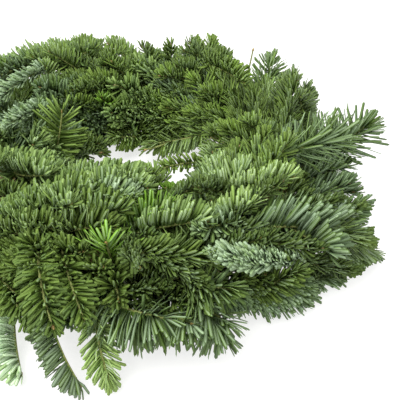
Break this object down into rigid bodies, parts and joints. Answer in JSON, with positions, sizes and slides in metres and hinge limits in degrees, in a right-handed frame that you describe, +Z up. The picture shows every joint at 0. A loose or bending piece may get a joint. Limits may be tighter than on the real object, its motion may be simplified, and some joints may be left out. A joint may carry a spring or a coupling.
{
  "type": "advent wreath",
  "caption": "Undecorated round wreath of noble fir sprays bound with wire onto a straw ring, lying flat on a table as the base of an advent wreath.",
  "frame": {"origin": "on the surface that the wreath lies on, under the middle of its outline's box", "axes": "+Z up, out of the wreath's face; +Y away from the picture's viewer and +X to the viewer's right; the shoots' tips point counterclockwise seen from above"},
  "size_m": [0.4452, 0.4584, 0.116],
  "materials": {
    "dry_straw": "pressed dry straw, matt, pale yellow-brown",
    "lacquered_wire": "dark green lacquered iron binding wire",
    "noble_fir": "fresh noble fir: waxy blue-green to yellow-green needles on olive-brown twigs"
  },
  "bodies": {
    "root": {"straw_ring": "dry_straw", "binding_wire": "lacquered_wire", "spray_01": "noble_fir", "spray_02": "noble_fir", "spray_03": "noble_fir", "spray_04": "noble_fir", "spray_05": "noble_fir", "spray_06": "noble_fir", "spray_07": "noble_fir", "spray_08": "noble_fir", "spray_09": "noble_fir", "spray_10": "noble_fir", "spray_11": "noble_fir", "spray_12": "noble_fir", "spray_13": "noble_fir", "spray_14": "noble_fir", "spray_15": "noble_fir", "spray_16": "noble_fir", "spray_17": "noble_fir", "spray_18": "noble_fir", "spray_19": "noble_fir", "spray_20": "noble_fir", "spray_21": "noble_fir", "spray_22": "noble_fir", "spray_23": "noble_fir", "spray_24": "noble_fir", "spray_25": "noble_fir", "spray_26": "noble_fir", "spray_27": "noble_fir", "spray_28": "noble_fir", "spray_29": "noble_fir", "spray_30": "noble_fir", "spray_31": "noble_fir", "spray_32": "noble_fir", "spray_33": "noble_fir", "spray_34": "noble_fir", "spray_35": "noble_fir", "spray_36": "noble_fir", "spray_37": "noble_fir", "spray_38": "noble_fir", "spray_39": "noble_fir", "spray_40": "noble_fir", "spray_41": "noble_fir", "spray_42": "noble_fir", "spray_43": "noble_fir", "spray_44": "noble_fir", "spray_45": "noble_fir", "spray_46": "noble_fir", "spray_47": "noble_fir", "spray_48": "noble_fir"}
  },
  "joints": []
}
